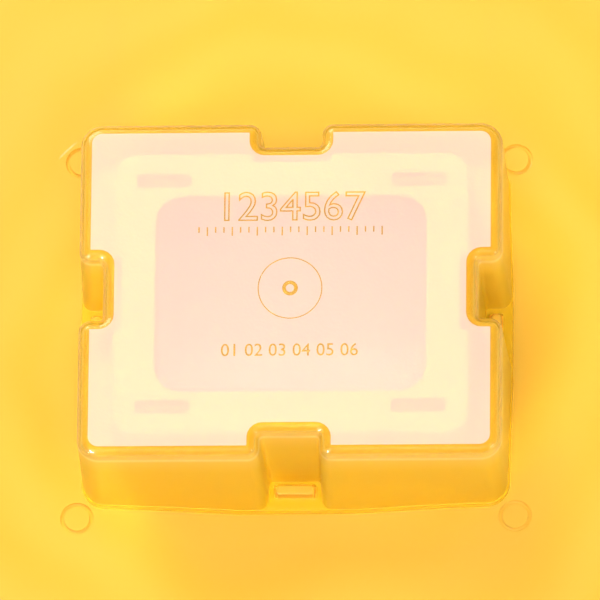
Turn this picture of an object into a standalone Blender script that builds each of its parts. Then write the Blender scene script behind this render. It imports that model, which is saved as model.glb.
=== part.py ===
"""Queen cage: a yellow tray with a windowed tower, under a clip-on milky cover.

Metres, +Z up. The origin is the middle of the tray's foot, on the surface that it stands on.
+X is to the right of someone facing the tray, and +Y is away from them.
"""

import math

import bmesh
import bpy
from mathutils import Matrix, Vector

# Driving dimensions
GAP = 0.0003                      # between pieces that touch
OVERLAP = 0.001                   # how far a cutter or a joined shape runs past its neighbour
TRAY_WIDTH, TRAY_LENGTH = 0.222, 0.232
TRAY_CORNER_R = 0.020
TRAY_TOP = 0.014                  # height of the pad that the cover stands on
TRAY_UNDERSIDE = 0.0112
TRAY_SKIRT_WALL = 0.0022
TRAY_EDGE_R = 0.0025
PAD_WIDTH, PAD_LENGTH, PAD_CORNER_R = 0.156, 0.136, 0.024
TERRACE_WIDTH, TERRACE_LENGTH, TERRACE_CORNER_R = 0.181, 0.176, 0.0365
STEP_DROP, STEP_RUN = 0.0006, 0.0040

COVER_WIDTH, COVER_LENGTH = 0.127, 0.106
COVER_HEIGHT = 0.0466
COVER_WALL = 0.0015
COVER_DRAFT = 0.00075             # how much further out each wall is at the rim
COVER_CORNER_R = 0.0066
COVER_EDGE_R = 0.00345
COVER_BOW_FRONT, COVER_BOW_SIDE = 0.0025, 0.0012
RIM_BAND_HEIGHT = 0.003
RIM_BAND_PROUD = 0.00035
MOUTH_EXTRA = 0.0002              # how much wider the open foot is than the hollow above it
NOTCH_WIDTH_TOP, NOTCH_WIDTH_FOOT = 0.0184, 0.0157
NOTCH_DEPTH = 0.0073
NOTCH_MOUTH_R, NOTCH_INNER_R = 0.0036, 0.0013
SHELF_THICKNESS = 0.0015

TOWER_WIDTH, TOWER_LENGTH = 0.1068, 0.0888
TOWER_BELOW_COVER_TOP = 0.0046
TOWER_WALL = 0.0022
TOWER_DRAFT = 0.001
TOWER_CORNER_R, TOWER_EDGE_R = 0.007, 0.0015
TOWER_DIP_WIDTH, TOWER_DIP_DEPTH, TOWER_DIP_R = 0.0236, 0.0026, 0.0012
WINDOW_WIDTH, WINDOW_LENGTH, WINDOW_CORNER_R = 0.0814, 0.0622, 0.0084
SLOT_WIDTH, SLOT_LENGTH = 0.0162, 0.0044
SLOT_X, SLOT_Y = 0.0384, 0.0358
FRAME_THICKNESS, FRAME_LIP = 0.0024, 0.0005
FRAME_BORDER_X, FRAME_BORDER_Y = 0.0018, 0.0006   # past the outer ends of the slots
TAB_BELOW_CROWN = 0.0014
SCREEN_OVERLAP_X, SCREEN_OVERLAP_Y = 0.0008, 0.0005   # past the tower's window, each side
SEAT_PLAY = 0.0004

POST_WIDTH, POST_THICKNESS = 0.0115, 0.0030
POST_ABOVE_SHELF = 0.0020
POST_BEHIND_NOTCH_WALL = 0.0035   # from the notch's back wall at its foot to the post's middle
POST_PLAY = 0.0006

FLOOR_WIDTH, FLOOR_LENGTH, FLOOR_THICKNESS = 0.1126, 0.094, 0.0020
FLOOR_WINDOW_WIDTH, FLOOR_WINDOW_LENGTH, FLOOR_WINDOW_Y = 0.080, 0.042, 0.019
FLOOR_REBATE, FLOOR_REBATE_DEPTH = 0.003, 0.0011
FLOOR_WINDOW_CORNER_R = 0.003
PLATE_CORNER_R = 0.004
MESH_THICKNESS = 0.0005
GRIP_WIDTH, GRIP_THICKNESS, GRIP_DROP = 0.036, 0.002, 0.004
GRIP_FROM_EDGE, GRIP_ROOT = 0.0005, 0.0006
RAIL_LEDGE, RAIL_WALL = 0.0035, 0.0022
RAIL_FRONT_Y, RAIL_BACK_Y = -0.0495, 0.106
RAIL_ROOT = 0.0008                # how far the rails and the stop run up into the tray
STOP_WIDTH, STOP_THICKNESS = 0.040, 0.0022

TUBE_Y = -0.030
TUBE_R, TUBE_BORE_R, TUBE_HEIGHT = 0.0070, 0.0055, 0.024
TUBE_FLANGE_R, TUBE_FLANGE_HEIGHT, TUBE_FLANGE_SLOPE = 0.0095, 0.0015, 0.0008
TUBE_TAPER = 0.0004
CANDY_BASE, CANDY_HEIGHT = 0.0015, 0.017
CANDY_FOOT_CHAMFER, CANDY_TOP_CHAMFER = 0.0006, 0.0012
GATE_PIVOT_Y = -0.012
GATE_THICKNESS = 0.0015
GATE_END_R, GATE_PIVOT_END_R = 0.0080, 0.0050
PIN_R, PIN_HEAD_R, PIN_HEAD_HEIGHT, PIN_HEAD_CHAMFER = 0.0015, 0.0030, 0.0010, 0.0004

# Heights that follow from them
COVER_FOOT = TRAY_TOP + GAP
COVER_TOP = COVER_FOOT + COVER_HEIGHT
SHELF_TOP = COVER_FOOT + RIM_BAND_HEIGHT
CROWN_TOP = COVER_TOP - TOWER_BELOW_COVER_TOP
CROWN_UNDERSIDE = CROWN_TOP - TOWER_WALL
FLOOR_TOP = TRAY_UNDERSIDE - GAP
FLOOR_FOOT = FLOOR_TOP - FLOOR_THICKNESS
GATE_FOOT = FLOOR_FOOT - GAP - GATE_THICKNESS


def clear_scene():
    for obj in list(bpy.data.objects):
        bpy.data.objects.remove(obj, do_unlink=True)


def finish(name, colour, roughness, alpha=1.0, metallic=0.0):
    """A Principled material of one colour."""
    made = bpy.data.materials.new(name)
    made.use_nodes = True
    shader = made.node_tree.nodes["Principled BSDF"]
    shader.inputs["Base Color"].default_value = (*colour, 1.0)
    shader.inputs["Roughness"].default_value = roughness
    shader.inputs["Metallic"].default_value = metallic
    shader.inputs["Alpha"].default_value = alpha
    made.diffuse_color = (*colour, alpha)
    return made


def shown(bm, name, material, smooth_below=35):
    """The bmesh as a named object, its rounded faces shaded smooth."""
    bmesh.ops.recalc_face_normals(bm, faces=bm.faces[:])
    mesh = bpy.data.meshes.new(name)
    bm.to_mesh(mesh)
    bm.free()
    obj = bpy.data.objects.new(name, mesh)
    bpy.context.scene.collection.objects.link(obj)
    if material:
        mesh.materials.append(material)
        mesh.shade_smooth()
        mesh.set_sharp_from_angle(angle=math.radians(smooth_below))
    return obj


def cutter(bm, name):
    """A helper solid that only cuts or joins."""
    obj = shown(bm, name, None)
    obj.hide_render = True
    obj.display_type = "WIRE"
    return obj


def combine(obj, other, operation):
    step = obj.modifiers.new(other.name, "BOOLEAN")
    step.operation = operation
    step.solver = "EXACT"
    step.object = other


def loft(rings):
    """A closed solid through rings of equal count, from its first ring's cap to its last one's."""
    bm = bmesh.new()
    rows = [[bm.verts.new(point) for point in ring] for ring in rings]
    for lower, upper in zip(rows, rows[1:]):
        for i in range(len(lower)):
            j = (i + 1) % len(lower)
            bm.faces.new((lower[i], lower[j], upper[j], upper[i]))
    bm.faces.new(rows[0][::-1])
    bm.faces.new(rows[-1])
    return bm


def add_box(bm, low, high):
    size = [b - a for a, b in zip(low, high)]
    middle = [(a + b) / 2 for a, b in zip(low, high)]
    bmesh.ops.create_cube(bm, size=1, matrix=Matrix.Translation(middle) @ Matrix.Diagonal((*size, 1)))


def rounded_rectangle(width, length, radius, z, inset=0.0, steps=6):
    """Points round a rectangle with round corners, inset towards its middle."""
    half_x, half_y, r = width / 2 - inset, length / 2 - inset, radius - inset
    points = []
    for quarter, (sx, sy) in enumerate(((1, 1), (-1, 1), (-1, -1), (1, -1))):
        for i in range(steps + 1):
            a = math.pi / 2 * (quarter + i / steps)
            points.append(Vector((sx * (half_x - r) + r * math.cos(a),
                                  sy * (half_y - r) + r * math.sin(a), z)))
    return points


def slab(width, length, radius, low, high, steps=6):
    return loft([rounded_rectangle(width, length, radius, z, steps=steps) for z in (low, high)])


def notched_side(half_length, corner_r, notch_half, depth, mouth_r, inner_r, arc_steps=3):
    """(along, inward) points of one side with a notch in its middle, without the corners' arcs.

    A notch_half of 0 gives a plain side with the same count of points.
    """
    end = half_length - corner_r
    half = []
    outer = notch_half + mouth_r if notch_half else 0.4 * end
    for share in (0.0, 0.35, 0.7):
        half.append((-(end + (outer - end) * share), 0.0))
    if notch_half:
        for i in range(arc_steps + 1):
            a = math.pi / 2 * i / arc_steps
            half.append((-(notch_half + mouth_r) + mouth_r * math.sin(a), mouth_r * (1 - math.cos(a))))
        for i in range(arc_steps + 1):
            a = math.pi / 2 * i / arc_steps
            half.append((-(notch_half - inner_r) - inner_r * math.cos(a),
                         depth - inner_r * (1 - math.sin(a))))
    else:
        half.append((-0.4 * end, 0.0))
    return half + [(-along, inward) for along, inward in reversed(half)]


def side_outline(width, length, corner_r, z, inset=0.0, notch=None, bows=(0.0, 0.0), corner_steps=5):
    """Points round a rectangle whose four sides may be notched and may bow outwards.

    notch is (half width, depth, mouth radius, inner radius) of the uninset outline, bows the
    outward bow of the front and back sides and of the left and right ones.
    """
    r = corner_r - inset
    points = []
    for k in range(4):
        turn = Matrix.Rotation(math.pi / 2 * k, 3, "Z")
        away, along_half = (width / 2, length / 2) if k % 2 == 0 else (length / 2, width / 2)
        away, along_half = away - inset, along_half - inset
        bow = bows[1] if k % 2 == 0 else bows[0]
        half, depth, mouth_r, inner_r = notch or (0.0, 1.0, 0.0, 0.0)
        if notch:
            half, mouth_r, inner_r = half + inset, mouth_r - inset, inner_r + inset
        for along, inward in notched_side(along_half, r, half, depth, mouth_r, inner_r):
            swell = bow * math.cos(math.pi / 2 * along / along_half) ** 2 * (1 - inward / depth)
            points.append(turn @ Vector((away - inward + swell, along, z)))
        for i in range(1, corner_steps):
            a = math.pi / 2 * i / corner_steps
            points.append(turn @ Vector((away - r + r * math.cos(a), along_half - r + r * math.sin(a), z)))
    return points


def fillet_steps(radius, steps=4):
    """(inset, drop) pairs of a quarter round, from the wall up to the flat top."""
    angles = [math.pi / 2 * i / steps for i in range(steps + 1)]
    return [(radius * (1 - math.cos(a)), radius * (1 - math.sin(a))) for a in angles]


def cover_ring(z, inset=0.0, notched=True):
    """The cover's outline at height z, which spreads and bows towards its foot."""
    low = (COVER_TOP - z) / COVER_HEIGHT
    spread = 2 * COVER_DRAFT * low
    half = (NOTCH_WIDTH_TOP + (NOTCH_WIDTH_FOOT - NOTCH_WIDTH_TOP) * low) / 2
    bows = [bow * low ** 1.5 for bow in (COVER_BOW_FRONT, COVER_BOW_SIDE)]
    return side_outline(COVER_WIDTH + spread, COVER_LENGTH + spread, COVER_CORNER_R, z, inset,
                        (half, NOTCH_DEPTH, NOTCH_MOUTH_R, NOTCH_INNER_R) if notched else None, bows)


def cover_heights(low, high, count):
    return [low + (high - low) * i / count for i in range(count + 1)]


def make_cover(material):
    """The milky shell: four notched walls, a rim band, and a shelf across the foot of each notch."""
    wall_top = COVER_TOP - COVER_EDGE_R
    rings = [cover_ring(z) for z in cover_heights(COVER_FOOT + GAP, wall_top, 4)]
    rings += [cover_ring(COVER_TOP - drop, inset) for inset, drop in fillet_steps(COVER_EDGE_R)[1:]]
    cover = shown(loft(rings), "cover", material)

    band = loft([cover_ring(z, -RIM_BAND_PROUD, False) for z in (COVER_FOOT, SHELF_TOP)])
    combine(cover, cutter(band, "cut_cover_rim_band"), "UNION")

    inner_r = COVER_EDGE_R - COVER_WALL
    inner_top = COVER_TOP - COVER_WALL
    ledge = SHELF_TOP - SHELF_THICKNESS
    hollow = [cover_ring(z, COVER_WALL) for z in cover_heights(ledge - GAP, inner_top - inner_r, 4)]
    hollow += [cover_ring(inner_top - drop, COVER_WALL + inset)
               for inset, drop in fillet_steps(inner_r, 3)[1:]]
    combine(cover, cutter(loft(hollow), "cut_cover_hollow"), "DIFFERENCE")

    mouth = loft([cover_ring(z, COVER_WALL - MOUTH_EXTRA, False) for z in (COVER_FOOT - OVERLAP, ledge)])
    combine(cover, cutter(mouth, "cut_cover_mouth"), "DIFFERENCE")

    slots = bmesh.new()
    for centre, across, along in post_places():
        size = across * (POST_THICKNESS / 2 + POST_PLAY) + along * (POST_WIDTH / 2 + POST_PLAY)
        add_box(slots, (centre.x - size.x, centre.y - size.y, ledge - OVERLAP),
                (centre.x + size.x, centre.y + size.y, SHELF_TOP + OVERLAP))
    combine(cover, cutter(slots, "cut_cover_shelf_slots"), "DIFFERENCE")


def post_places():
    """(centre, across, along) of the four posts: both directions as positive unit vectors."""
    from_wall = NOTCH_DEPTH - COVER_DRAFT - POST_BEHIND_NOTCH_WALL
    x = COVER_WIDTH / 2 - from_wall
    y = COVER_LENGTH / 2 - from_wall
    right, back = Vector((1, 0, 0)), Vector((0, 1, 0))
    return [(right * x, right, back), (back * y, back, right),
            (right * -x, right, back), (back * -y, back, right)]


def tower_ring(z, inset=0.0):
    low = (CROWN_TOP - z) / (CROWN_TOP - TRAY_TOP)
    spread = 2 * TOWER_DRAFT * low
    notch = (TOWER_DIP_WIDTH / 2, TOWER_DIP_DEPTH, TOWER_DIP_R + inset, TOWER_DIP_R)
    return side_outline(TOWER_WIDTH + spread, TOWER_LENGTH + spread, TOWER_CORNER_R, z, inset, notch,
                        corner_steps=4)


def make_tray(material):
    """The yellow moulding: stepped tray on a skirt, hollow tower, four posts and the floor's rails."""
    rings = []
    height = TRAY_TOP
    for width, length, corner_r in ((PAD_WIDTH, PAD_LENGTH, PAD_CORNER_R),
                                    (TERRACE_WIDTH, TERRACE_LENGTH, TERRACE_CORNER_R)):
        rings.append(rounded_rectangle(width, length, corner_r, height))
        height -= STEP_DROP
        rings.append(rounded_rectangle(width, length, corner_r, height, -STEP_RUN))
    edge_top = height
    for inset, drop in reversed(fillet_steps(TRAY_EDGE_R, 3)):
        rings.append(rounded_rectangle(TRAY_WIDTH, TRAY_LENGTH, TRAY_CORNER_R, edge_top - drop, inset))
    rings.append(rounded_rectangle(TRAY_WIDTH, TRAY_LENGTH, TRAY_CORNER_R, 0.0))
    for z in (0.0, TRAY_UNDERSIDE):
        rings.append(rounded_rectangle(TRAY_WIDTH, TRAY_LENGTH, TRAY_CORNER_R, z, TRAY_SKIRT_WALL))
    tray = shown(loft(rings), "base_tray", material)

    body = [tower_ring(z) for z in (TRAY_TOP - OVERLAP, CROWN_TOP - TOWER_EDGE_R)]
    body += [tower_ring(CROWN_TOP - drop, inset) for inset, drop in fillet_steps(TOWER_EDGE_R, 3)[1:]]
    combine(tray, cutter(loft(body), "cut_tower_body"), "UNION")
    hollow = [tower_ring(z, TOWER_WALL) for z in (TRAY_UNDERSIDE - OVERLAP, CROWN_UNDERSIDE)]
    combine(tray, cutter(loft(hollow), "cut_tower_hollow"), "DIFFERENCE")

    through = (CROWN_UNDERSIDE - OVERLAP, CROWN_TOP + OVERLAP)
    window = slab(WINDOW_WIDTH, WINDOW_LENGTH, WINDOW_CORNER_R, *through)
    combine(tray, cutter(window, "cut_tower_window"), "DIFFERENCE")
    slots = bmesh.new()
    for sx in (-1, 1):
        for sy in (-1, 1):
            add_box(slots, (sx * SLOT_X - SLOT_WIDTH / 2, sy * SLOT_Y - SLOT_LENGTH / 2, through[0]),
                    (sx * SLOT_X + SLOT_WIDTH / 2, sy * SLOT_Y + SLOT_LENGTH / 2, through[1]))
    combine(tray, cutter(slots, "cut_tower_slots"), "DIFFERENCE")

    posts = bmesh.new()
    for centre, across, along in post_places():
        size = across * (POST_THICKNESS / 2) + along * (POST_WIDTH / 2)
        add_box(posts, (centre.x - size.x, centre.y - size.y, TRAY_TOP - OVERLAP),
                (centre.x + size.x, centre.y + size.y, SHELF_TOP + POST_ABOVE_SHELF))
    combine(tray, cutter(posts, "cut_tray_posts"), "UNION")

    rails = bmesh.new()
    inner_face = FLOOR_WIDTH / 2 + 2 * GAP
    ledge_low, ledge_high = FLOOR_FOOT - GAP - RAIL_WALL, FLOOR_FOOT - GAP
    root = TRAY_UNDERSIDE + RAIL_ROOT
    for side in (-1, 1):
        profile = [(inner_face, root), (inner_face, ledge_high), (inner_face - RAIL_LEDGE, ledge_high),
                   (inner_face - RAIL_LEDGE, ledge_low), (inner_face + RAIL_WALL, ledge_low),
                   (inner_face + RAIL_WALL, root)]
        ends = [[rails.verts.new((side * x, y, z)) for x, z in profile]
                for y in (RAIL_FRONT_Y, RAIL_BACK_Y)]
        for i in range(len(profile)):
            j = (i + 1) % len(profile)
            rails.faces.new((ends[0][i], ends[0][j], ends[1][j], ends[1][i]))
        rails.faces.new(ends[0])
        rails.faces.new(ends[1][::-1])
    combine(tray, cutter(rails, "cut_tray_rails"), "UNION")
    stop_y = -FLOOR_LENGTH / 2 - GAP
    stop = bmesh.new()
    add_box(stop, (-STOP_WIDTH / 2, stop_y - STOP_THICKNESS, FLOOR_FOOT), (STOP_WIDTH / 2, stop_y, root))
    combine(tray, cutter(stop, "cut_tray_front_stop"), "UNION")


def make_window(frame_material, mesh_material):
    """The yellow frame that snaps up into the crown's four slots, and the screen that it holds there."""
    top = CROWN_UNDERSIDE - GAP
    width = 2 * (SLOT_X + SLOT_WIDTH / 2 + FRAME_BORDER_X)
    length = 2 * (SLOT_Y + SLOT_LENGTH / 2 + FRAME_BORDER_Y)
    plate = slab(width, length, PLATE_CORNER_R, top - FRAME_THICKNESS, top, 4)
    frame = shown(plate, "window_frame", frame_material)

    tabs = bmesh.new()
    half_x, half_y = SLOT_WIDTH / 2 - GAP, SLOT_LENGTH / 2 - GAP
    for x in (-SLOT_X, SLOT_X):
        for y in (-SLOT_Y, SLOT_Y):
            add_box(tabs, (x - half_x, y - half_y, top - OVERLAP),
                    (x + half_x, y + half_y, CROWN_TOP - TAB_BELOW_CROWN))
    combine(frame, cutter(tabs, "cut_window_tabs"), "UNION")
    opening = slab(WINDOW_WIDTH - 2 * FRAME_LIP, WINDOW_LENGTH - 2 * FRAME_LIP, WINDOW_CORNER_R,
                   top - FRAME_THICKNESS - OVERLAP, top + OVERLAP, 4)
    combine(frame, cutter(opening, "cut_window_opening"), "DIFFERENCE")

    screen_width, screen_length = WINDOW_WIDTH + 2 * SCREEN_OVERLAP_X, WINDOW_LENGTH + 2 * SCREEN_OVERLAP_Y
    low = top - MESH_THICKNESS - GAP
    seat = slab(screen_width + 2 * SEAT_PLAY, screen_length + 2 * SEAT_PLAY, WINDOW_CORNER_R,
                low - GAP, top + OVERLAP, 4)
    combine(frame, cutter(seat, "cut_window_seat"), "DIFFERENCE")
    screen = slab(screen_width, screen_length, WINDOW_CORNER_R, low, low + MESH_THICKNESS, 4)
    shown(screen, "window_screen", mesh_material)


def turned(section, x, y, steps=24):
    """A closed turned ring about a vertical axis at x, y, from the (radius, z) points round its section."""
    bm = bmesh.new()
    rows = []
    for i in range(steps):
        a = 2 * math.pi * i / steps
        rows.append([bm.verts.new((x + r * math.cos(a), y + r * math.sin(a), z)) for r, z in section])
    for i in range(steps):
        here, after = rows[i], rows[(i + 1) % steps]
        for k in range(len(section)):
            m = (k + 1) % len(section)
            bm.faces.new((here[k], after[k], after[m], here[m]))
    return bm


def round_bar(sections, x, y, steps=20):
    """A solid round bar from (radius, z) pairs, bottom to top."""
    turns = [2 * math.pi * i / steps for i in range(steps)]
    return loft([[Vector((x + r * math.cos(a), y + r * math.sin(a), z)) for a in turns]
                 for r, z in sections])


def hole_through(radius, y, low, high, steps):
    return round_bar([(radius, low - OVERLAP), (radius, high + OVERLAP)], 0, y, steps)


def moved_back(bm, y):
    bmesh.ops.translate(bm, verts=bm.verts[:], vec=(0, y, 0))
    return bm


def make_floor(plate_material, mesh_material):
    """The floor that slides in the tray's rails, with a lip to pull it by, and its screen."""
    plate = shown(slab(FLOOR_WIDTH, FLOOR_LENGTH, PLATE_CORNER_R, FLOOR_FOOT, FLOOR_TOP, 3),
                  "floor_slide", plate_material)
    seat_foot = FLOOR_TOP - FLOOR_REBATE_DEPTH
    seat_width = FLOOR_WINDOW_WIDTH + 2 * FLOOR_REBATE
    seat_length = FLOOR_WINDOW_LENGTH + 2 * FLOOR_REBATE
    opening = slab(FLOOR_WINDOW_WIDTH, FLOOR_WINDOW_LENGTH, FLOOR_WINDOW_CORNER_R,
                   FLOOR_FOOT - OVERLAP, FLOOR_TOP + OVERLAP, 3)
    seat = slab(seat_width, seat_length, PLATE_CORNER_R, seat_foot, FLOOR_TOP + OVERLAP, 3)
    combine(plate, cutter(moved_back(opening, FLOOR_WINDOW_Y), "cut_floor_window"), "DIFFERENCE")
    combine(plate, cutter(moved_back(seat, FLOOR_WINDOW_Y), "cut_floor_seat"), "DIFFERENCE")
    tube_hole = hole_through(TUBE_R + GAP, TUBE_Y, FLOOR_FOOT, FLOOR_TOP, 24)
    combine(plate, cutter(tube_hole, "cut_floor_tube_hole"), "DIFFERENCE")
    pin_hole = hole_through(PIN_R + GAP, GATE_PIVOT_Y, FLOOR_FOOT, FLOOR_TOP, 16)
    combine(plate, cutter(pin_hole, "cut_floor_pin_hole"), "DIFFERENCE")
    grip = bmesh.new()
    grip_back = FLOOR_LENGTH / 2 - GRIP_FROM_EDGE
    add_box(grip, (-GRIP_WIDTH / 2, grip_back - GRIP_THICKNESS, FLOOR_FOOT - GRIP_DROP),
            (GRIP_WIDTH / 2, grip_back, FLOOR_FOOT + GRIP_ROOT))
    combine(plate, cutter(grip, "cut_floor_grip"), "UNION")

    low = seat_foot + GAP
    screen = slab(seat_width - 2 * GAP, seat_length - 2 * GAP, PLATE_CORNER_R - GAP,
                  low, low + MESH_THICKNESS, 3)
    shown(moved_back(screen, FLOOR_WINDOW_Y), "floor_screen", mesh_material)


def make_candy_tube(tube_material, candy_material):
    """The flanged tube that stands in the floor's round hole, and the candy packed in it."""
    foot, flange = FLOOR_FOOT, FLOOR_TOP + GAP
    flange_top = flange + TUBE_FLANGE_HEIGHT
    tube = turned([(TUBE_BORE_R, foot), (TUBE_R, foot), (TUBE_R, flange), (TUBE_FLANGE_R, flange),
                   (TUBE_FLANGE_R, flange_top), (TUBE_R, flange_top + TUBE_FLANGE_SLOPE),
                   (TUBE_R - TUBE_TAPER, foot + TUBE_HEIGHT), (TUBE_BORE_R, foot + TUBE_HEIGHT)],
                  0, TUBE_Y)
    shown(tube, "candy_tube", tube_material)
    radius, base = TUBE_BORE_R - GAP, foot + CANDY_BASE
    candy = round_bar([(radius - CANDY_FOOT_CHAMFER, base), (radius, base + CANDY_FOOT_CHAMFER),
                       (radius, base + CANDY_HEIGHT - CANDY_TOP_CHAMFER),
                       (radius - CANDY_TOP_CHAMFER, base + CANDY_HEIGHT)], 0, TUBE_Y, 24)
    shown(candy, "candy_plug", candy_material)


def make_gate_pin(material):
    """The headed pin that the gate turns about. Its shaft ends just below the floor's upper face."""
    head_top = GATE_FOOT - GAP
    head_foot = head_top - PIN_HEAD_HEIGHT
    pin = round_bar([(PIN_HEAD_R - PIN_HEAD_CHAMFER, head_foot), (PIN_HEAD_R, head_foot + PIN_HEAD_CHAMFER),
                     (PIN_HEAD_R, head_top), (PIN_R, head_top), (PIN_R, FLOOR_TOP - GAP)],
                    0, GATE_PIVOT_Y, 16)
    shown(pin, "gate_pin", material)


def make_gate(material):
    """The flat exit gate, which turns about its pin below the floor. Its origin is on the pin's axis."""
    hinge = bpy.data.objects.new("gate_axis", None)
    hinge.location = (0, GATE_PIVOT_Y, 0)
    bpy.context.scene.collection.objects.link(hinge)
    reach = TUBE_Y - GATE_PIVOT_Y
    rings = []
    for z in (GATE_FOOT, GATE_FOOT + GATE_THICKNESS):
        ring = []
        for centre, r, start in ((0.0, GATE_PIVOT_END_R, 0.0), (reach, GATE_END_R, math.pi)):
            for i in range(13):
                a = start + math.pi * i / 12
                ring.append(Vector((r * math.cos(a), centre + r * math.sin(a), z)))
        rings.append(ring)
    gate = shown(loft(rings), "exit_gate", material)
    gate.parent = hinge
    hole = hole_through(PIN_R + GAP, GATE_PIVOT_Y, GATE_FOOT, GATE_FOOT + GATE_THICKNESS, 16)
    combine(gate, cutter(hole, "cut_gate_hole"), "DIFFERENCE")


clear_scene()
milky = finish("milky_polypropylene", (0.90, 0.82, 0.70), 0.30, alpha=0.55)
yellow = finish("yellow_polystyrene", (0.95, 0.60, 0.06), 0.25)
white = finish("white_polypropylene", (0.90, 0.88, 0.84), 0.40)
nylon = finish("white_nylon_screen", (0.88, 0.86, 0.82), 0.55)
steel = finish("stainless_screen", (0.60, 0.60, 0.60), 0.35, metallic=1.0)
fondant = finish("candy_fondant", (0.93, 0.90, 0.82), 0.60)

make_cover(milky)
make_tray(yellow)
make_window(yellow, nylon)
make_floor(white, steel)
make_candy_tube(white, fondant)
make_gate_pin(steel)
make_gate(white)
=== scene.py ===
import math

import bpy
from mathutils import Euler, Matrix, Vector


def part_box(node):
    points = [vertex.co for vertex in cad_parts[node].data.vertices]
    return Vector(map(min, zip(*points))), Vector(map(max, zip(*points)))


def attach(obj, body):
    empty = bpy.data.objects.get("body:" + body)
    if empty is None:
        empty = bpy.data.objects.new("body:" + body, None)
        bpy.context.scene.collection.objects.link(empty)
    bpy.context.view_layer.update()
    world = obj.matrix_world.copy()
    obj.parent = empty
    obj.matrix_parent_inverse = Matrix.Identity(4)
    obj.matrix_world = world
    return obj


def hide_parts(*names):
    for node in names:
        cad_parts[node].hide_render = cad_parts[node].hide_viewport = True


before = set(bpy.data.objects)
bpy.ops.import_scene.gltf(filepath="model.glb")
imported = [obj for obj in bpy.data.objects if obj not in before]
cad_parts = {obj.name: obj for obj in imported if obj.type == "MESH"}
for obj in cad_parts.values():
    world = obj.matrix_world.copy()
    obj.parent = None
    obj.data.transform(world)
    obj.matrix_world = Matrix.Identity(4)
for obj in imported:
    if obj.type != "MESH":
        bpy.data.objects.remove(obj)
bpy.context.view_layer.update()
scene = bpy.context.scene


# --- The milky cover ---------------------------------------------------------
# A shell of natural polypropylene, injection moulded through the middle of its top. The flat of
# the top is spark-textured, and the round edges, walls and notches are polished. It drops over
# four posts, one up each notch.
cover_low, cover_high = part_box("cover")
cover_width, cover_length = 0.127, 0.106
cover_draft, cover_wall = 0.00075, 0.0015
corner_r, edge_r = 0.0066, 0.00345
notch_top_half, notch_foot_half, notch_depth = 0.0092, 0.00785, 0.0073
notch_mouth_r, notch_inner_r = 0.0036, 0.0013
rim_height, rim_proud = 0.0030, 0.00035
shelf_thickness = 0.0015
bow_ends, bow_sides = 0.0025, 0.0012
gap = 0.0003        # between pieces that touch
overrun = 0.001     # how far a cutter runs past what it cuts


def choose(obj, kind, wanted):
    """Opens the mesh with just the edges or faces that wanted says selected."""
    bpy.ops.object.select_all(action="DESELECT")
    bpy.context.view_layer.objects.active = obj
    obj.select_set(True)
    mesh = obj.data
    for part in (*mesh.vertices, *mesh.edges, *mesh.polygons):
        part.select = False
    if kind == "EDGE":
        for edge in mesh.edges:
            edge.select = wanted(*(mesh.vertices[i].co for i in edge.vertices))
    else:
        for face in mesh.polygons:
            face.select = wanted(face)
    bpy.context.tool_settings.mesh_select_mode = (False, kind == "EDGE", kind == "FACE")
    bpy.ops.object.mode_set(mode="EDIT")


def settle():
    """Puts the active object's place and turn into its mesh."""
    bpy.ops.object.transform_apply(location=True, rotation=True, scale=True)
    return bpy.context.object


def block(name, low, high, draw_in=(1, 1), shift=(0, 0, 0)):
    """A box between two corners, with its top face drawn in and shifted."""
    bpy.ops.object.select_all(action="DESELECT")
    middle = [(a + b) / 2 for a, b in zip(low, high)]
    bpy.ops.mesh.primitive_cube_add(size=1, location=middle, scale=[b - a for a, b in zip(low, high)])
    obj = settle()
    obj.name = name
    choose(obj, "FACE", lambda face: face.normal.z > 0.9)
    bpy.ops.transform.resize(value=(*draw_in, 1), center_override=(middle[0], middle[1], high[2]))
    bpy.ops.transform.translate(value=shift)
    bpy.ops.object.mode_set(mode="OBJECT")
    return obj


def round_edges(obj, radius, steps, wanted):
    choose(obj, "EDGE", wanted)
    bpy.ops.mesh.bevel(offset=radius, segments=steps, affect="EDGES", clamp_overlap=False)
    bpy.ops.object.mode_set(mode="OBJECT")


def upright(a, b):
    return abs(a.z - b.z) > 4 * (a.xy - b.xy).length


def level_at(*heights):
    """Says whether an edge lies at one of these heights."""
    return lambda a, b: any(abs(a.z - z) < 1e-5 and abs(b.z - z) < 1e-5 for z in heights)


def apply_modifiers(obj):
    bpy.ops.object.select_all(action="DESELECT")
    bpy.context.view_layer.objects.active = obj
    obj.select_set(True)
    for modifier in list(obj.modifiers):
        bpy.ops.object.modifier_apply(modifier=modifier.name)


def carve(obj, tool, operation="DIFFERENCE", folded=False):
    """Cuts the tool from obj, or joins it to obj, and clears the tool away."""
    step = obj.modifiers.new("carve", "BOOLEAN")
    step.operation = operation
    step.solver = "EXACT"
    step.use_self = folded
    step.object = tool
    apply_modifiers(obj)
    bpy.data.objects.remove(tool)


def rounded_block(name, low, high, radius, steps, **shape):
    obj = block(name, low, high, **shape)
    round_edges(obj, radius, steps, upright)
    return obj


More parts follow.
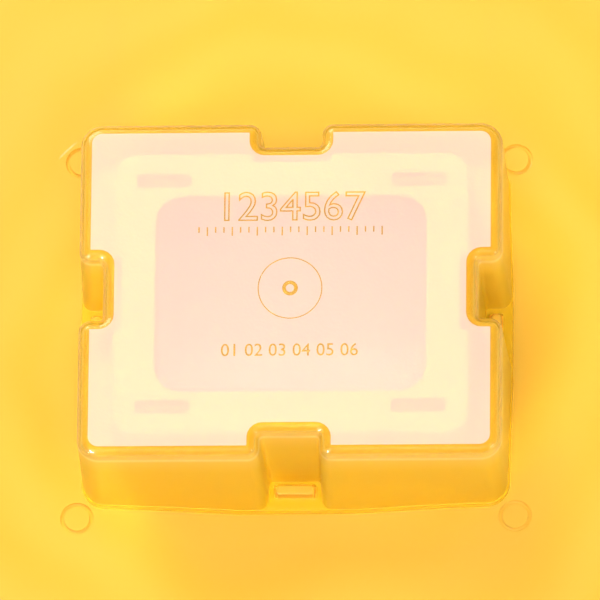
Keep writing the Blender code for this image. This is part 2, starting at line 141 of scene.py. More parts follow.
def notched_block(name, half_x, half_y, draft, corner, edge, notch, foot, top):
    """A solid with round corners, a round top edge and a notch in each of its four sides.

    half_x and half_y are its half sizes at the top, and draft is how much further out its foot is.
    notch is its half width at the foot and at the top, its depth, and its mouth's and back's radii.
    """
    foot_half, top_half, depth, mouth_r, back_r = notch
    foot_x, foot_y = half_x + draft, half_y + draft
    body = rounded_block(name, (-foot_x, -foot_y, foot), (foot_x, foot_y, top), corner, 12,
                         draw_in=(half_x / foot_x, half_y / foot_y))
    for k, half in enumerate((half_x, half_y) * 2):
        back, outside = half + draft - depth, half + draft + 0.008
        tool = block("notch", (back, -foot_half, foot - 0.002), (outside, foot_half, top + 0.002),
                     draw_in=(1, top_half / foot_half), shift=(-draft, 0, 0))
        round_edges(tool, back_r, 5, lambda a, b: upright(a, b) and max(a.x, b.x) < half)
        tool.rotation_euler.z = k * math.pi / 2
        settle()
        carve(body, tool)

    def at_mouth(a, b):
        side = max(abs(a.x) / half_x, abs(a.y) / half_y)
        along = abs(a.y) if abs(a.x) / half_x > abs(a.y) / half_y else abs(a.x)
        return upright(a, b) and side > 0.995 and along < top_half + 0.0005

    round_edges(body, mouth_r, 8, at_mouth)
    round_edges(body, edge, 10, level_at(top))
    return body


def cover_body(name, inset, foot, top):
    """The cover's solid outline, drawn in all round by inset."""
    notch = (notch_foot_half + inset, notch_top_half + inset, notch_depth, notch_mouth_r - inset,
             notch_inner_r + inset)
    return notched_block(name, cover_width / 2 - inset, cover_length / 2 - inset, cover_draft,
                         corner_r - inset, edge_r - inset, notch, foot, top)


def post_places():
    """The middle of each notch's shelf slot, and whether the slot runs along X."""
    from_wall = notch_depth - cover_draft - 0.0035
    x, y = cover_width / 2 - from_wall, cover_length / 2 - from_wall
    return [((x, 0), False), ((0, y), True), ((-x, 0), False), ((0, -y), True)]


def ease(x):
    x = min(1, max(0, x))
    return x * x * (3 - 2 * x)


foot, top = cover_low.z, cover_high.z
shelf_top = foot + rim_height
cover = cover_body("cover_shell", 0.0, foot + 0.0003, top)
rim_x, rim_y = cover_width / 2 + cover_draft + rim_proud, cover_length / 2 + cover_draft + rim_proud
rim = rounded_block("rim", (-rim_x, -rim_y, foot), (rim_x, rim_y, shelf_top), corner_r + rim_proud, 12)
round_edges(rim, 0.0003, 2, level_at(shelf_top))
carve(cover, rim, "UNION")
carve(cover, cover_body("hollow", cover_wall, shelf_top - shelf_thickness - 0.0002, top - cover_wall))
mouth_x, mouth_y = cover_width / 2 - cover_wall + 0.0010, cover_length / 2 - cover_wall + 0.0010
carve(cover, rounded_block("mouth", (-mouth_x, -mouth_y, foot - 0.001),
                           (mouth_x, mouth_y, shelf_top - shelf_thickness), corner_r - cover_wall, 8))

# Marks moulded into the top: the ring and the stub of the gate, and a plain numbered scale, whose
# figures are outlined by a fine groove over a row of ticks. A smaller row of figures is sunk below.
gate_ring_r, gate_stub_r = 0.00955, 0.0018
tick_pitch, tick_count = 0.0025, 23
figure_size, figure_y = 0.0128, 0.0216
small_size, small_y = 0.0056, -0.0214
tick_half, tick_top, long_tick, short_tick = 0.0002, 0.0195, 0.0028, 0.0018
mark_depth = 0.0002


def torus(name, x, y, z, radius, thickness, turns=64):
    bpy.ops.object.select_all(action="DESELECT")
    bpy.ops.mesh.primitive_torus_add(location=(x, y, z), major_radius=radius, minor_radius=thickness,
                                     major_segments=turns, minor_segments=8)
    made = settle()
    made.name = name
    return made


def figures(name, words, size, y, **settings):
    """Figures centred on the cover, lying in its top face, as a mesh."""
    bpy.ops.object.select_all(action="DESELECT")
    bpy.ops.object.text_add(location=(0, y, top))
    made = bpy.context.object
    made.name = name
    made.data.body = words
    made.data.size = size
    made.data.align_x = "CENTER"
    for key, value in settings.items():
        setattr(made.data, key, value)
    bpy.ops.object.convert(target="MESH")
    return settle()


carve(cover, torus("gate_ring", 0, 0, top + 0.00008, gate_ring_r, 0.0002, 96))
carve(cover, torus("gate_stub", 0, 0, top - 0.00010, gate_stub_r, 0.0006, 40))
first_tick = -tick_pitch * (tick_count - 1) / 2
for k in range(tick_count):
    length = long_tick if k % 3 == 1 else short_tick
    x = first_tick + k * tick_pitch
    carve(cover, block("tick", (x - tick_half, tick_top - length, top - mark_depth),
                       (x + tick_half, tick_top, top + overrun)))
carve(cover, figures("outlined_figures", "1234567", figure_size, figure_y, fill_mode="NONE", resolution_u=4,
                     bevel_depth=0.00021, bevel_resolution=1), folded=True)
carve(cover, figures("sunk_figures", "01 02 03 04 05 06", small_size, small_y, resolution_u=4,
                     extrude=mark_depth), folded=True)

# The walls bow outwards towards the foot, most in the middle of each side.
choose(cover, "FACE", lambda face: True)
for axis, half in ((0, cover_width / 2), (1, cover_length / 2)):
    for share in (-0.85, -0.7, -0.55, -0.4, -0.28, 0.28, 0.4, 0.55, 0.7, 0.85):
        co, no = [0, 0, 0], [0, 0, 0]
        co[axis], no[axis] = share * half, 1
        bpy.ops.mesh.select_all(action="SELECT")
        bpy.ops.mesh.bisect(plane_co=co, plane_no=no)
for share in (0.1, 0.2, 0.35, 0.5, 0.7):
    bpy.ops.mesh.select_all(action="SELECT")
    bpy.ops.mesh.bisect(plane_co=(0, 0, foot + share * (top - foot)), plane_no=(0, 0, 1))
bpy.ops.object.mode_set(mode="OBJECT")
for vertex in cover.data.vertices:
    x, y, z = vertex.co
    low = min(1, max(0, (top - z) / (top - foot))) ** 1.5
    near_end = ease((abs(y) - cover_length / 2 + notch_depth + cover_wall) / notch_depth)
    near_side = ease((abs(x) - cover_width / 2 + notch_depth + cover_wall) / notch_depth)
    bow_y = bow_ends * low * near_end * math.cos(math.pi * x / cover_width) ** 2
    bow_x = bow_sides * low * near_side * math.cos(math.pi * y / cover_length) ** 2
    vertex.co.y += math.copysign(bow_y, y) if abs(x) < cover_width / 2 else 0
    vertex.co.x += math.copysign(bow_x, x) if abs(y) < cover_length / 2 else 0

for (x, y), along_x in post_places():
    half = (0.00635, 0.0021) if along_x else (0.0021, 0.00635)
    carve(cover, rounded_block("slot", (x - half[0], y - half[1], foot),
                               (x + half[0], y + half[1], shelf_top + 0.001), 0.0005, 2))

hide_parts("cover")
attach(cover, "cover")


def new_finish(name):
    made = bpy.data.materials.new(name)
    made.use_nodes = True
    made.node_tree.nodes.clear()
    return made, made.node_tree


def shade(tree, kind, output=0, **values):
    """Adds a shader node and gives back one output. A value is a number, a colour or another output."""
    made = tree.nodes.new("ShaderNode" + kind)
    for key, value in values.items():
        socket = made.inputs[int(key[1:])] if key[0] == "_" else made.inputs[key.replace("_", " ")]
        if isinstance(value, bpy.types.NodeSocket):
            tree.links.new(value, socket)
        else:
            socket.default_value = value
    return made.outputs[output]


def show(tree, shader):
    tree.links.new(shader, tree.nodes.new("ShaderNodeOutputMaterial").inputs["Surface"])


def mixed(tree, share, first, second):
    return shade(tree, "MixShader", _0=share, _1=first, _2=second)


def noise(tree, scale, detail=2.0):
    place = shade(tree, "TexCoord", "Object")
    return shade(tree, "TexNoise", "Fac", Vector=place, Scale=scale, Detail=detail)


def bump(tree, height, depth):
    return shade(tree, "Bump", Height=height, Distance=depth, Strength=1.0)


def between(tree, share, first, second):
    """A colour between two, by share."""
    made = tree.nodes.new("ShaderNodeMix")
    made.data_type = "RGBA"
    tree.links.new(share, made.inputs[0])
    for socket, colour in ((made.inputs[6], first), (made.inputs[7], second)):
        if isinstance(colour, bpy.types.NodeSocket):
            tree.links.new(colour, socket)
        else:
            socket.default_value = (*colour, 1)
    return made.outputs[2]


def by_height(tree, stops, strength):
    """A colour that changes from the cover's foot, at 0, to its top, at 1."""
    height = shade(tree, "SeparateXYZ", "Z", Vector=shade(tree, "TexCoord", "Object"))
    ramp = tree.nodes.new("ShaderNodeValToRGB")
    tree.links.new(shade(tree, "MapRange", Value=height, From_Min=foot, From_Max=top), ramp.inputs["Fac"])
    for place, colour in stops:
        ramp.color_ramp.elements.new(place).color = (*[strength * c for c in colour], 1)
    ramp.color_ramp.elements.remove(ramp.color_ramp.elements[0])
    ramp.color_ramp.elements.remove(ramp.color_ramp.elements[-1])
    return ramp.outputs["Color"]


def milky_finish(name, clear, clear_rough, ior, gloss, haze_share, haze_and_painted_light, haze_rough, grain,
                 grain_depth, lets):
    """Clear plastic and haze in one surface, which lets lamplight through to what it covers.

    haze holds its colours by height, which in the polished finish carry painted light and shade. gloss is
    its coat's weight, and lets is what lamplight keeps.
    """
    made, tree = new_finish(name)
    surface = bump(tree, noise(tree, grain, 3.0), grain_depth)
    through = shade(tree, "BsdfPrincipled", Base_Color=(*clear, 1), Roughness=clear_rough, IOR=ior,
                    Transmission_Weight=1.0, Coat_Weight=gloss, Coat_Roughness=0.04, Normal=surface)
    # The haze colours, with the polished finish's painted light and shade, are broken up by noise.
    cloud = between(tree, noise(tree, 25.0), by_height(tree, haze_and_painted_light, 1.0), by_height(tree, haze_and_painted_light, 0.97))
    milk = shade(tree, "BsdfPrincipled", Base_Color=cloud, Roughness=haze_rough, Normal=surface)
    glow = shade(tree, "BsdfTranslucent", Color=cloud)
    body = mixed(tree, haze_share, through, mixed(tree, 0.15, milk, glow))
    open_to_lamps = shade(tree, "BsdfTransparent", Color=(*lets, 1))
    shadow = shade(tree, "LightPath", "Is Shadow Ray")
    show(tree, mixed(tree, shadow, body, open_to_lamps))
    return made


def smooth(obj, *finishes):
    """Gives the mesh its finishes, and shades its round parts smooth and its flat ones flat."""
    obj.data.materials.clear()
    for finish in finishes:
        obj.data.materials.append(finish)
    bpy.ops.object.select_all(action="DESELECT")
    bpy.context.view_layer.objects.active = obj
    obj.select_set(True)
    bpy.ops.object.shade_smooth_by_angle(angle=math.radians(35))
    weights = obj.modifiers.new("weights", "WEIGHTED_NORMAL")
    weights.keep_sharp = True
    apply_modifiers(obj)


def on_flat(face):
    return face.normal.z > 0.999 and face.center.z > top - 0.00005


# Painted light: the amber stands in for light that milky plastic picks up from the tray below it, and it
# deepens towards the foot, nearest the tray. The pale band at 0.925 of the height, where the round top edge
# meets the wall, is a painted highlight, and the darker amber above it on the round edge is painted shade.
painted_light_haze = ((0.001, (0.72, 0.48, 0.005)), (0.70, (0.78, 0.56, 0.040)), (0.89, (0.84, 0.62, 0.12)),
              (0.925, (0.96, 0.82, 0.42)), (0.95, (0.76, 0.48, 0.06)), (0.999, (0.64, 0.36, 0.015)))
white_haze = ((0.001, (0.86, 0.75, 0.84)), (0.999, (0.86, 0.75, 0.84)))
polished = milky_finish("milky_polished", (0.95, 0.90, 0.52), 0.22, 1.15, 0.45, 0.42, painted_light_haze, 0.3,
                        60.0, 0.0001, (0.94, 0.91, 0.80))
frosted = milky_finish("milky_frosted", (0.94, 0.90, 0.98), 0.25, 1.25, 0.0, 0.48, white_haze, 0.6,
                       900.0, 0.00004, (0.78, 0.70, 0.76))
choose(cover, "FACE", on_flat)
bpy.ops.mesh.region_to_loop()
bpy.ops.mesh.mark_sharp()
bpy.ops.object.mode_set(mode="OBJECT")
smooth(cover, polished, frosted)
for face in cover.data.polygons:
    face.material_index = 1 if on_flat(face) else 0


# --- The yellow tray -----------------------------------------------------------
# One moulding of translucent yellow polystyrene: a tray on a skirt that steps up twice to the pad
# under the cover, the hollow tower with its window and four snap slots, four posts that stand up
# through the cover's notches, and the floor's rails underneath. Round ejector marks dent the pad.
tray_low, tray_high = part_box("base_tray")
pad_top, crown_top = foot - gap, tray_high.z
step_drop, step_run = 0.0006, 0.0010
edge_top, tray_under = pad_top - 2 * step_drop, 0.0112
skirt_wall, tower_wall = 0.0022, 0.0022
tower_x, tower_y, tower_draft, tower_corner_r = 0.0534, 0.0444, 0.001, 0.007
tower_edge_r, hollow_edge_r = 0.0010, 0.0006
dip_half, dip_depth, dip_r, dip_mouth_r = 0.0118, 0.0026, 0.0012, 0.0013
window_x, window_y, window_r = 0.0407, 0.0311, 0.0084
slot_x, slot_y, slot_half = 0.0384, 0.0358, (0.0081, 0.0022)
mark_x, mark_y, mark_r = 0.0662, 0.0570, 0.0044
groove_r, groove_sunk = 0.0007, 0.00020


def yellow_finish(name, glow_share, pale, deep):
    made, tree = new_finish(name)
    place = shade(tree, "TexCoord", "Object")
    flow = tree.nodes.new("ShaderNodeTexWave")
    flow.wave_type, flow.rings_direction = "RINGS", "Z"
    flow.inputs["Scale"].default_value = 12.0
    flow.inputs["Distortion"].default_value = 6.0
    flow.inputs["Detail Scale"].default_value = 1.0
    tree.links.new(place, flow.inputs["Vector"])
    cloud = shade(tree, "MapRange", Value=flow.outputs["Fac"], To_Max=0.5)
    streaks = shade(tree, "MapRange", Value=noise(tree, 8.0), To_Min=cloud, To_Max=1.0)
    tone = between(tree, streaks, pale, deep)
    surface = bump(tree, noise(tree, 30.0, 4.0), 0.0002)
    skin = shade(tree, "BsdfPrincipled", Base_Color=tone, Roughness=0.28, Normal=surface)
    glow = shade(tree, "BsdfTranslucent", Color=tone)
    show(tree, mixed(tree, glow_share, skin, glow))
    return made


yellow = yellow_finish("yellow_plastic", 0.35, (1.0, 0.60, 0.038), (1.0, 0.70, 0.100))
tray = rounded_block("tray_moulding", tray_low, (tray_high.x, tray_high.y, edge_top), 0.020, 16)
round_edges(tray, 0.0025, 6, level_at(edge_top))
for half_x, half_y, radius, height in ((0.0905, 0.088, 0.0365, pad_top - step_drop),
                                       (0.078, 0.068, 0.024, pad_top)):
    step = rounded_block("step", (-half_x - step_run, -half_y - step_run, edge_top - 0.001),
                         (half_x + step_run, half_y + step_run, height - step_drop - 0.0001),
                         radius + step_run, 16)
    choose(step, "FACE", lambda face: face.normal.z > 0.9)
    bpy.ops.mesh.inset(thickness=step_run, depth=step_drop + 0.0001)
    bpy.ops.object.mode_set(mode="OBJECT")
    carve(tray, step, "UNION")
carve(tray, rounded_block("under", (tray_low.x + skirt_wall, tray_low.y + skirt_wall, -0.001),
                          (tray_high.x - skirt_wall, tray_high.y - skirt_wall, tray_under),
                          0.020 - skirt_wall, 12))
dip = (dip_half, dip_half, dip_depth, dip_mouth_r, dip_r)
carve(tray, notched_block("tower", tower_x, tower_y, tower_draft, tower_corner_r, tower_edge_r, dip,
                          pad_top - overrun, crown_top), "UNION")
wide_dip = dip_half + tower_wall
carve(tray, notched_block("tower_hollow", tower_x - tower_wall, tower_y - tower_wall, tower_draft,
                          tower_corner_r - tower_wall, hollow_edge_r,
                          (wide_dip, wide_dip, dip_depth, 0.001, dip_r),
                          tray_under - overrun, crown_top - tower_wall))
carve(tray, rounded_block("window", (-window_x, -window_y, crown_top - 0.004),
                          (window_x, window_y, crown_top + 0.001), window_r, 12))
round_edges(tray, 0.0005, 3, lambda a, b: (level_at(crown_top)(a, b) and max(abs(a.x), abs(b.x)) < 0.042
                                           and max(abs(a.y), abs(b.y)) < 0.0325))
for sx in (-1, 1):
    for sy in (-1, 1):
        x, y = sx * slot_x, sy * slot_y
        carve(tray, rounded_block("slot", (x - slot_half[0], y - slot_half[1], crown_top - 0.004),
                                  (x + slot_half[0], y + slot_half[1], crown_top + 0.001), 0.0008, 3))
        carve(tray, torus("ejector_mark", sx * mark_x, sy * mark_y, pad_top - groove_sunk,
                          mark_r, groove_r))
for (x, y), along_x in post_places():
    half = (0.00575, 0.0015) if along_x else (0.0015, 0.00575)
    post_top = shelf_top + 0.002
    post = rounded_block("post", (x - half[0], y - half[1], pad_top - 0.001),
                         (x + half[0], y + half[1], post_top), 0.0012, 4)
    round_edges(post, 0.0006, 3, level_at(post_top))
    carve(tray, post, "UNION")

floor_low, floor_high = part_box("floor_slide")
rail_in, rail_root = floor_high.x + 0.0006, tray_under + 0.0008
ledge_top = floor_high.z - 0.0020 - 0.0003
for side in (-1, 1):
    xs = sorted((side * (rail_in - 0.0035), side * (rail_in + 0.0022)))
    rail = block("rail", (xs[0], -0.0495, ledge_top - 0.0022), (xs[1], 0.106, rail_root))
    xs = sorted((side * (rail_in - 0.0045), side * rail_in))
    carve(rail, block("channel", (xs[0], -0.06, ledge_top), (xs[1], 0.11, rail_root + 0.001)))
    round_edges(rail, 0.0003, 2, lambda a, b: abs(a.y - b.y) > 0.05 and max(a.z, b.z) < ledge_top + 0.0001)
    carve(tray, rail, "UNION")
carve(tray, block("stop", (-0.020, floor_low.y - 0.0025, ledge_top + 0.0003),
                  (0.020, floor_low.y - 0.0003, rail_root)), "UNION")
smooth(tray, yellow)
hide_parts("base_tray")
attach(tray, "tray")


# --- The window frame ------------------------------------------------------------
# A yellow rim that snaps up inside the crown. Its four tabs fill the crown's slots, and it traps
# the screen against the crown from below.
frame_low, frame_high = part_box("window_frame")
rim_top = crown_top - tower_wall - gap
window_frame = rounded_block("window_frame_moulding", frame_low, (frame_high.x, frame_high.y, rim_top),
                             0.004, 6)
round_edges(window_frame, 0.0004, 3, level_at(frame_low.z, rim_top))
for sx in (-1, 1):
    for sy in (-1, 1):
        x, y = sx * slot_x, sy * slot_y
        tab = rounded_block("tab", (x - slot_half[0] + gap, y - slot_half[1] + gap, rim_top - overrun),
                            (x + slot_half[0] - gap, y + slot_half[1] - gap, frame_high.z), 0.0006, 3)
        round_edges(tab, 0.0003, 2, level_at(frame_high.z))
        carve(window_frame, tab, "UNION")
inset = 0.0005
carve(window_frame, rounded_block("opening", (-window_x + inset, -window_y + inset, frame_low.z - overrun),
                                  (window_x - inset, window_y - inset, rim_top + overrun), window_r, 12))
net_low, net_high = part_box("window_screen")
seat_play = 0.0004
carve(window_frame, rounded_block("seat", (net_low.x - seat_play, net_low.y - seat_play, net_low.z - gap),
                                  (net_high.x + seat_play, net_high.y + seat_play, rim_top + overrun),
                                  window_r, 12))
# A deeper yellow than the tray's. It is painted shade that darkens the tabs in their slots, as the shade in
# the slots would.
smooth(window_frame, yellow_finish("amber_plastic_painted_shade", 0.35, (0.90, 0.32, 0.012), (0.94, 0.37, 0.020)))
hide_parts("window_frame")
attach(window_frame, "tray")


# --- The window screen ------------------------------------------------------------
# A plain weave of white nylon with round corners, held under the crown by its frame. Its strands
# run in steps of half a pitch, so it stops 0.3 mm short of the window's front and back edges.
def woven(name, low, high, corner, pitch):
    """A plain weave that fills the box from low to high. Every strand runs over and under the others."""
    middle, size = (low + high) / 2, high - low
    strand_r = size.z / 4
    weave = bpy.data.curves.new(name, "CURVE")
    weave.dimensions = "3D"
    weave.bevel_depth, weave.bevel_resolution, weave.use_fill_caps = strand_r, 0, True
    counts = [int((size[axis] - 2 * strand_r) / pitch) for axis in (0, 1)]
    for along in (0, 1):
        across = 1 - along
        for i in range(counts[across]):
            offset = (i - (counts[across] - 1) / 2) * pitch
            past = max(0.0, abs(offset) - (size[across] / 2 - corner))
            half = size[along] / 2 - strand_r - corner + math.sqrt(corner ** 2 - past ** 2)
            steps = int(half / (pitch / 2))
            strand = weave.splines.new("POLY")
            strand.points.add(2 * steps)
            for point, k in zip(strand.points, range(-steps, steps + 1)):
                crossing = k / 2 + (counts[along] - 1) / 2 + i
                lift = strand_r * math.cos(math.pi * crossing) * (1 if along else -1)
                spot = [0.0, 0.0, middle.z + lift, 1.0]
                spot[along] = middle[along] + k * pitch / 2
                spot[across] = middle[across] + offset
                point.co = spot
    net = bpy.data.objects.new(name, weave)
    scene.collection.objects.link(net)
    bpy.ops.object.select_all(action="DESELECT")
    bpy.context.view_layer.objects.active = net
    net.select_set(True)
    bpy.ops.object.convert(target="MESH")
    bpy.ops.object.shade_smooth()
    return net


def nylon_finish(name):
    made, tree = new_finish(name)
    # It darkens to the back, in place of the shade inside the tower.
    from_front = shade(tree, "SeparateXYZ", "Y", Vector=shade(tree, "TexCoord", "Object"))
    share = shade(tree, "MapRange", Value=from_front, From_Min=-window_y, From_Max=window_y)
    tone = between(tree, share, (0.98, 0.98, 0.99), (0.30, 0.19, 0.10))
    skin = shade(tree, "BsdfPrincipled", Base_Color=tone, Roughness=0.45,
                 Normal=bump(tree, noise(tree, 4000.0), 0.00002))
    show(tree, mixed(tree, 0.4, skin, shade(tree, "BsdfTranslucent", Color=tone)))
    return made


window_net = woven("window_net", net_low, net_high, window_r, 0.0014)
window_net.data.materials.append(nylon_finish("white_nylon"))
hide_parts("window_screen")
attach(window_net, "tray")


# --- The sliding floor --------------------------------------------------------------
# A white polypropylene plate that runs in the tray's rails and is pulled out by the lip under its
# back edge. It has a rebated window for the feeding screen, a hole that the candy tube is pressed
# into and a hole for the gate's pin.
tube_low, tube_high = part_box("candy_tube")
tube_y, tube_r, bore_r = (tube_low.y + tube_high.y) / 2, 0.0070, 0.0055
pin_low, pin_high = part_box("gate_pin")
pin_y, pin_r = (pin_low.y + pin_high.y) / 2, 0.0015
floor_top = tray_under - gap
floor_foot = floor_top - 0.0020


def rod(name, y, radius, low, high, top_radius=None, turns=64):
    """A round bar that stands at y on the middle plane."""
    bpy.ops.object.select_all(action="DESELECT")
    bpy.ops.mesh.primitive_cylinder_add(vertices=turns, radius=radius, depth=high - low,
                                        location=(0, y, (low + high) / 2))
    made = settle()
    made.name = name
    if top_radius:
        choose(made, "FACE", lambda face: face.normal.z > 0.9)
        taper = top_radius / radius
        bpy.ops.transform.resize(value=(taper, taper, 1), center_override=(0, y, high))
        bpy.ops.object.mode_set(mode="OBJECT")
    return made


def white_finish(name):
    made, tree = new_finish(name)
    tone = between(tree, noise(tree, 30.0), (0.88, 0.85, 0.81), (0.83, 0.79, 0.74))
    rough = shade(tree, "MapRange", Value=noise(tree, 60.0), To_Min=0.35, To_Max=0.5)
    skin = shade(tree, "BsdfPrincipled", Base_Color=tone, Roughness=rough,
                 Normal=bump(tree, noise(tree, 1500.0), 0.00003))
    show(tree, mixed(tree, 0.2, skin, shade(tree, "BsdfTranslucent", Color=tone)))
    return made


white = white_finish("white_polypropylene")
floor_plate = rounded_block("floor_plate", (floor_low.x, floor_low.y, floor_foot),
                            (floor_high.x, floor_high.y, floor_top), 0.004, 6)
round_edges(floor_plate, 0.0004, 3, level_at(floor_top, floor_foot))
screen_low, screen_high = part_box("floor_screen")
seat_gap, rebate = 0.0003, 0.003
carve(floor_plate, rounded_block(
    "seat", (screen_low.x - seat_gap, screen_low.y - seat_gap, screen_low.z - seat_gap),
    (screen_high.x + seat_gap, screen_high.y + seat_gap, floor_top + overrun), 0.004, 6))
inside = rebate - seat_gap
hole_low, hole_high = floor_foot - overrun, floor_top + overrun
carve(floor_plate, rounded_block("light", (screen_low.x + inside, screen_low.y + inside, hole_low),
                                 (screen_high.x - inside, screen_high.y - inside, floor_top), 0.003, 6))
carve(floor_plate, rod("tube_hole", tube_y, tube_r + gap, hole_low, hole_high))
carve(floor_plate, rod("pin_hole", pin_y, pin_r + gap, hole_low, hole_high, turns=32))
lip_half, lip_root = 0.018, 0.0006
lip = block("lip", (-lip_half, floor_high.y - 0.0025, floor_low.z),
            (lip_half, floor_high.y - 0.0005, floor_foot + lip_root))
round_edges(lip, 0.0006, 3, lambda a, b: min(a.z, b.z) < floor_foot)
carve(floor_plate, lip, "UNION")
smooth(floor_plate, white)
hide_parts("floor_slide")
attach(floor_plate, "floor")


# --- The feeding screen ---------------------------------------------------------------
# A piece of woven stainless wire that lies in the floor's rebate, through which the workers feed
# the queen.
def steel_finish(name, grain):
    made, tree = new_finish(name)
    tone = between(tree, noise(tree, 80.0), (0.66, 0.65, 0.63), (0.56, 0.55, 0.53))
    rough = shade(tree, "MapRange", Value=noise(tree, grain), To_Min=0.28, To_Max=0.45)
    skin = shade(tree, "BsdfPrincipled", Base_Color=tone, Metallic=1.0, Roughness=rough,
                 Normal=bump(tree, noise(tree, 3 * grain), 0.00001))
    show(tree, skin)
    return made


feeding_screen = woven("feeding_screen", screen_low, screen_high, 0.0037, 0.0020)
feeding_screen.data.materials.append(steel_finish("woven_steel", 900.0))
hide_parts("floor_screen")
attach(feeding_screen, "floor")


# --- The candy tube -------------------------------------------------------------------
# A white polypropylene tube, pressed into the floor up to its flange. The bees eat through the
# candy in it to let the queen out.
flange_top = tray_under + 0.0015
candy_tube = rod("candy_tube_moulding", tube_y, tube_r, tube_low.z, tube_high.z, top_radius=tube_r - 0.0004)
flange = rod("flange", tube_y, 0.0095, tray_under, flange_top)
round_edges(flange, 0.0004, 3, level_at(tray_under, flange_top))
carve(candy_tube, flange, "UNION")
carve(candy_tube, rod("collar", tube_y, 0.0086, flange_top - 0.0004, flange_top + 0.0010,
                      top_radius=tube_r - 0.0002), "UNION")
carve(candy_tube, rod("bore", tube_y, bore_r, tube_low.z - 0.001, tube_high.z + 0.001))
round_edges(candy_tube, 0.0003, 3, level_at(tube_high.z))
smooth(candy_tube, white)
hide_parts("candy_tube")
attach(candy_tube, "floor")


# --- The candy ------------------------------------------------------------------------
# A stiff fondant of sugar and honey, pressed into the tube by hand, so its surface is uneven.
candy_low, candy_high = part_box("candy_plug")
candy_r = bore_r - 0.00045
candy = rod("candy_fill", tube_y, candy_r, candy_low.z + 0.0002, candy_high.z - 0.0003)
round_edges(candy, 0.0009, 4, level_at(candy_high.z - 0.0003))
remesh = candy.modifiers.new("remesh", "REMESH")
remesh.mode, remesh.voxel_size = "VOXEL", 0.0003
lumps = bpy.data.textures.new("lumps", "CLOUDS")
lumps.noise_scale = 0.0018
uneven = candy.modifiers.new("uneven", "DISPLACE")
uneven.texture, uneven.strength, uneven.mid_level = lumps, 0.0004, 0.7
apply_modifiers(candy)


def candy_finish(name):
    made, tree = new_finish(name)
    tone = between(tree, noise(tree, 300.0), (0.93, 0.90, 0.82), (0.86, 0.80, 0.68))
    skin = shade(tree, "BsdfPrincipled", Base_Color=tone, Roughness=0.7,
                 Normal=bump(tree, noise(tree, 1800.0, 4.0), 0.0001))
    show(tree, skin)
    return made


smooth(candy, candy_finish("fondant"))
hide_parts("candy_plug")
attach(candy, "floor")


# --- The exit gate ----------------------------------------------------------------------
# A flat white tongue under the floor that covers the candy tube's foot. It turns about the pin at
# its narrow end, and a shallow ring gives the thumb a hold on its wide end.
gate_low, gate_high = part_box("exit_gate")
gate_wide_r, gate_narrow_r = 0.0080, 0.0050
gate = rod("gate_tongue", tube_y, gate_wide_r, gate_low.z, gate_high.z, turns=96)
choose(gate, "FACE", lambda face: False)
bpy.ops.object.mode_set(mode="OBJECT")
for vertex in gate.data.vertices:
    vertex.select = vertex.co.y > tube_y - 1e-6
bpy.context.tool_settings.mesh_select_mode = (True, False, False)
bpy.ops.object.mode_set(mode="EDIT")
narrow = gate_narrow_r / gate_wide_r
bpy.ops.transform.resize(value=(narrow, narrow, 1), center_override=(0, tube_y, gate_low.z))
bpy.ops.transform.translate(value=(0, pin_y - tube_y, 0))
bpy.ops.object.mode_set(mode="OBJECT")
round_edges(gate, 0.0003, 3, level_at(gate_low.z, gate_high.z))
carve(gate, rod("hole", pin_y, pin_r + gap, gate_low.z - overrun, gate_high.z + overrun, turns=32))
for radius in (0.0030, 0.0045, 0.0060):
    carve(gate, torus("thumb_ring", 0, tube_y, gate_low.z, radius, 0.0003))
smooth(gate, white)
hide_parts("exit_gate")
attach(gate, "gate")


# --- The gate's pin -----------------------------------------------------------------------
# A turned steel rivet. Its domed head holds the gate up against the floor, and its shaft is
# pressed into the floor.
head_top = gate_low.z - gap
pin = rod("gate_rivet", pin_y, 0.0030, pin_low.z, head_top, turns=48)
round_edges(pin, 0.0006, 5, level_at(pin_low.z))
carve(pin, rod("shaft", pin_y, pin_r, head_top - 0.0002, pin_high.z, turns=32), "UNION")
smooth(pin, steel_finish("turned_steel", 500.0))
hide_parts("gate_pin")
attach(pin, "floor")


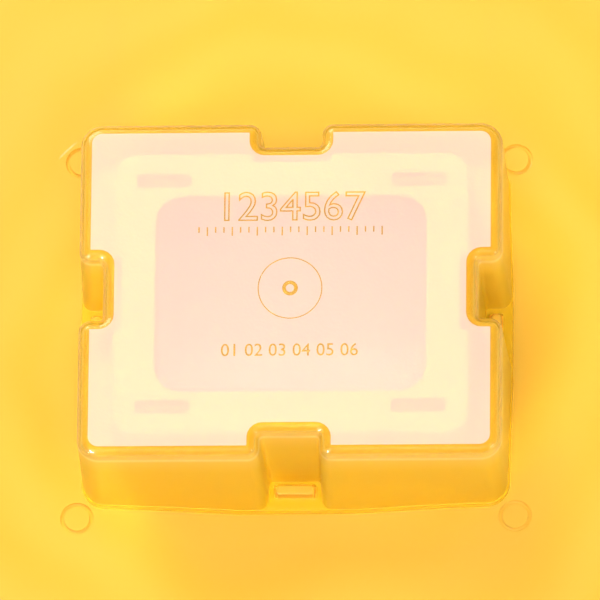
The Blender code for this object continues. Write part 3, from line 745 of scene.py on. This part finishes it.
# --- Floor, camera and lights ---------------------------------------------------------------
# A plain pale floor, and a long lens almost overhead, leaning to the front and a little to the
# right. Most of the light comes from above and from the back left.
bpy.ops.object.select_all(action="DESELECT")
bpy.ops.mesh.primitive_plane_add(size=3, location=(0, 0, -0.0002))
floor = bpy.context.object
floor.name = "pale_floor"
paper, paper_tree = new_finish("pale_paper")
paper_skin = shade(paper_tree, "BsdfPrincipled", Base_Color=(0.86, 0.84, 0.82, 1), Roughness=0.6)
show(paper_tree, paper_skin)
floor.data.materials.append(paper)

camera = bpy.data.objects.new("camera", bpy.data.cameras.new("camera"))
scene.collection.objects.link(camera)
scene.camera = camera
camera_distance = 3.5
seen_width = 0.1797
camera.data.lens = camera.data.sensor_width * camera_distance / seen_width
camera.data.clip_end = 20
camera.rotation_euler = Euler((math.radians(19.0), math.radians(2.71), math.radians(0.5)))
turn = camera.rotation_euler.to_matrix()
aim = Vector((0, 0, top)) + turn @ Vector((0.0030, -0.0036, 0))
camera.location = aim + turn @ Vector((0, 0, camera_distance))
scene.view_settings.view_transform = "Standard"

world = bpy.data.worlds.new("world")
scene.world = world
world.use_nodes = True
world.node_tree.nodes["Background"].inputs["Color"].default_value = (1.0, 0.97, 0.92, 1)
world.node_tree.nodes["Background"].inputs["Strength"].default_value = 0.2


def softbox(name, place, size, power, lights=True, glints=True):
    """An area lamp aimed at the cage, which can leave out its even light or its reflections."""
    lamp = bpy.data.lights.new(name, "AREA")
    lamp.shape = "RECTANGLE"
    lamp.size, lamp.size_y = size
    lamp.energy = power
    lamp.color = (1.0, 0.97, 0.93)
    box = bpy.data.objects.new(name, lamp)
    scene.collection.objects.link(box)
    box.visible_diffuse = box.visible_transmission = lights
    box.visible_glossy = glints
    box.location = place
    box.rotation_euler = (Vector((0, 0, 0.03)) - Vector(place)).to_track_quat("-Z", "Y").to_euler()


softbox("back_left_softbox", (-0.50, 0.80, 0.95), (0.6, 0.5), 12.5)
softbox("overhead_softbox", (0.05, -0.42, 1.3), (0.9, 0.5), 15.5, glints=False)
softbox("front_left_glint", (-0.55, -0.75, 0.65), (0.3, 0.3), 18, lights=False)
softbox("front_right_lamp", (0.80, -0.45, 0.60), (0.30, 0.30), 3.0)
